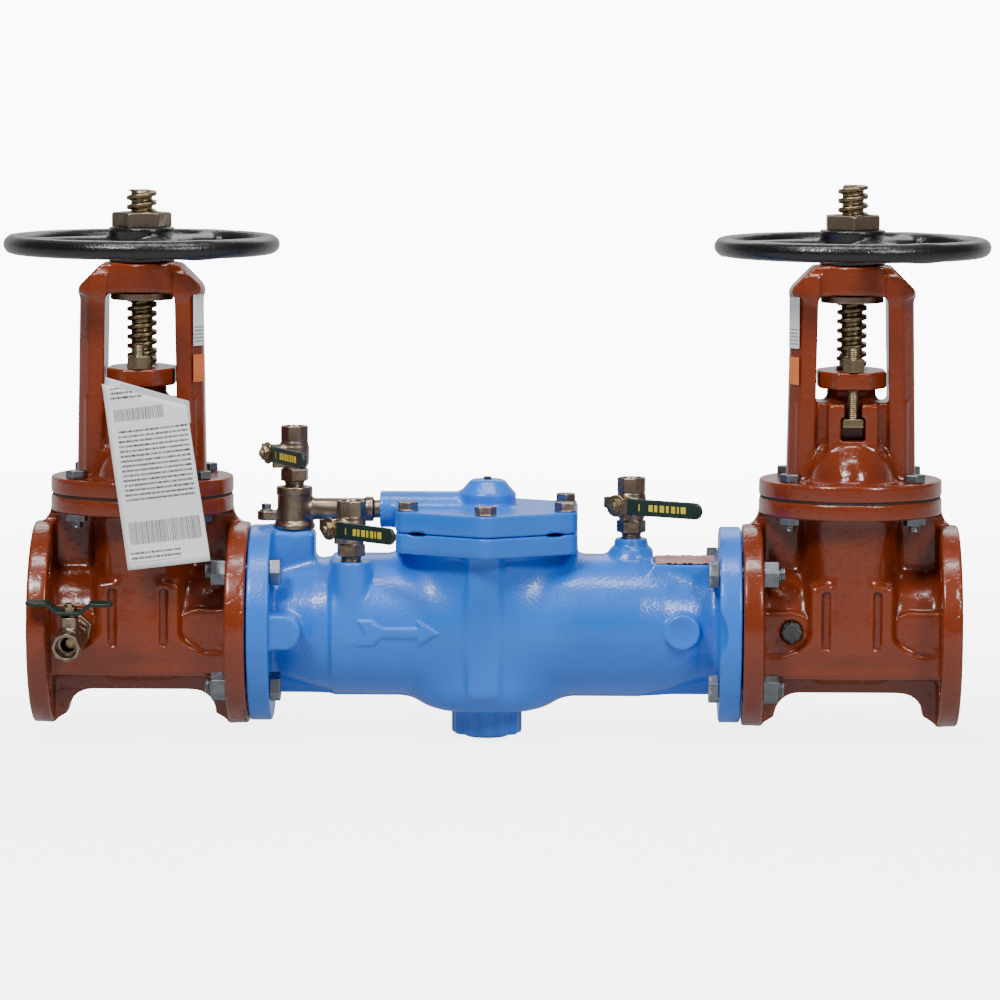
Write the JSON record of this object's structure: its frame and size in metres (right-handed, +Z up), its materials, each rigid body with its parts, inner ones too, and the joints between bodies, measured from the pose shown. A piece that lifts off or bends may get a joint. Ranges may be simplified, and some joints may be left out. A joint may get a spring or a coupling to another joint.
{
  "type": "backflow preventer",
  "caption": "Flanged double check backflow preventer with rising stem gate valves at both ends, test cocks on a hex covered body.",
  "frame": {"origin": "centre of the inlet flange's face, on the pipe axis", "axes": "+X along the flow, +Z up along the gate valve stems, -Y towards the side with the flow arrow and levers"},
  "size_m": [0.9208, 0.2663, 0.517],
  "materials": {
    "brown_enamel": "gloss brown enamel over cast iron",
    "blue_epoxy": "blue fusion epoxy with orange peel",
    "black_enamel": "gloss black enamel",
    "bronze": "cast bronze, tarnished",
    "yellow_brass": "machined brass",
    "zinc_steel": "zinc plated steel",
    "stainless": "stainless steel",
    "black_iron": "black malleable iron",
    "rubber": "moulded EPDM",
    "green_vinyl": "dipped dark green vinyl",
    "acetal": "moulded acetal",
    "copper_plate": "thin coppery plate",
    "card": "coated card"
  },
  "bodies": {
    "frame": {"inlet_valve_body": "brown_enamel", "inlet_bonnet_yoke": "brown_enamel", "inlet_bonnet_gasket": "rubber", "inlet_packing": "rubber", "inlet_gland": "brown_enamel", "outlet_valve_body": "brown_enamel", "outlet_bonnet_yoke": "brown_enamel", "outlet_bonnet_gasket": "rubber", "outlet_packing": "rubber", "outlet_gland": "brown_enamel", "outlet_body_plug": "black_iron", "check_body": "blue_epoxy", "check_cover": "blue_epoxy", "cover_gasket": "rubber", "drain_plug": "blue_epoxy", "cover_vent_plug": "black_iron", "name_plate": "copper_plate", "branch_tee": "bronze", "check_1_seat": "acetal", "check_1_cage": "stainless", "check_1_spring": "stainless", "check_2_seat": "acetal", "check_2_cage": "stainless", "check_2_spring": "stainless", "cock_1_nipple": "yellow_brass", "cock_1_body": "bronze", "cock_2_body": "bronze", "cock_3_body": "bronze", "cock_4_body": "bronze", "inlet_flange_bolt_1": "zinc_steel", "inlet_flange_bolt_2": "zinc_steel", "inlet_flange_bolt_3": "zinc_steel", "inlet_flange_bolt_4": "zinc_steel", "inlet_flange_gasket": "rubber", "outlet_flange_bolt_1": "zinc_steel", "outlet_flange_bolt_2": "zinc_steel", "outlet_flange_bolt_3": "zinc_steel", "outlet_flange_bolt_4": "zinc_steel", "outlet_flange_gasket": "rubber", "paper_tag": "card"},
    "inlet_stem_set": {"inlet_stem": "yellow_brass", "inlet_wedge": "rubber"},
    "inlet_wheel_set": {"inlet_handwheel": "black_enamel", "inlet_yoke_nut": "bronze", "inlet_wheel_nut": "bronze"},
    "outlet_stem_set": {"outlet_stem": "yellow_brass", "outlet_wedge": "rubber"},
    "outlet_wheel_set": {"outlet_handwheel": "black_enamel", "outlet_yoke_nut": "bronze", "outlet_wheel_nut": "bronze"},
    "check_1_poppet": {"check_1_disc": "acetal"},
    "check_2_poppet": {"check_2_disc": "acetal"},
    "cock_1_handle": {"cock_1_wing_lever": "green_vinyl", "cock_1_ball_stem": "yellow_brass"},
    "cock_2_handle": {"cock_2_lever": "green_vinyl", "cock_2_ball_stem": "yellow_brass"},
    "cock_3_handle": {"cock_3_lever": "green_vinyl", "cock_3_ball_stem": "yellow_brass"},
    "cock_4_handle": {"cock_4_lever": "green_vinyl", "cock_4_ball_stem": "yellow_brass"}
  },
  "joints": [
    {"name": "inlet_wheel_spin", "type": "hinge", "parent": "frame", "child": "inlet_wheel_set", "pos_m": [0.1016, 0, 0.357], "axis": [0, 0, 1], "range_deg": [0, 3600]},
    {"name": "inlet_stem_lift", "type": "slide", "parent": "frame", "child": "inlet_stem_set", "axis": [0, 0, 1], "range_m": [0, 0.085]},
    {"name": "outlet_wheel_spin", "type": "hinge", "parent": "frame", "child": "outlet_wheel_set", "pos_m": [0.7684, 0, 0.357], "axis": [0, 0, 1], "range_deg": [0, 3600]},
    {"name": "outlet_stem_lift", "type": "slide", "parent": "frame", "child": "outlet_stem_set", "axis": [0, 0, 1], "range_m": [0, 0.085]},
    {"name": "check_1_lift", "type": "slide", "parent": "frame", "child": "check_1_poppet", "axis": [1, 0, 0], "range_m": [0, 0.02], "stiffness_N_per_m": 300, "springref_m": -0.02, "deforming": ["check_1_spring"]},
    {"name": "check_2_lift", "type": "slide", "parent": "frame", "child": "check_2_poppet", "axis": [1, 0, 0], "range_m": [0, 0.02], "stiffness_N_per_m": 300, "springref_m": -0.02, "deforming": ["check_2_spring"]},
    {"name": "cock_1_turn", "type": "hinge", "parent": "frame", "child": "cock_1_handle", "pos_m": [0.04435, -0.10043, -0.00654], "axis": [-0.0097, -0.1388, 0.9903], "range_deg": [0, 90]},
    {"name": "cock_2_turn", "type": "hinge", "parent": "frame", "child": "cock_2_handle", "pos_m": [0.245, 0, 0.1615], "axis": [-0.9063, -0.4226, 0], "range_deg": [0, 90]},
    {"name": "cock_3_turn", "type": "hinge", "parent": "frame", "child": "cock_3_handle", "pos_m": [0.3006, -0.046, 0.0955], "axis": [-0.7314, -0.682, 0], "range_deg": [0, 90]},
    {"name": "cock_4_turn", "type": "hinge", "parent": "frame", "child": "cock_4_handle", "pos_m": [0.5626, 0, 0.1143], "axis": [-0.5299, -0.848, 0], "range_deg": [0, 90]}
  ],
  "couplings": [
    {"joint": "inlet_stem_lift", "follows": "inlet_wheel_spin", "m_per_rad": 0.0013528},
    {"joint": "outlet_stem_lift", "follows": "outlet_wheel_spin", "m_per_rad": 0.0013528}
  ]
}
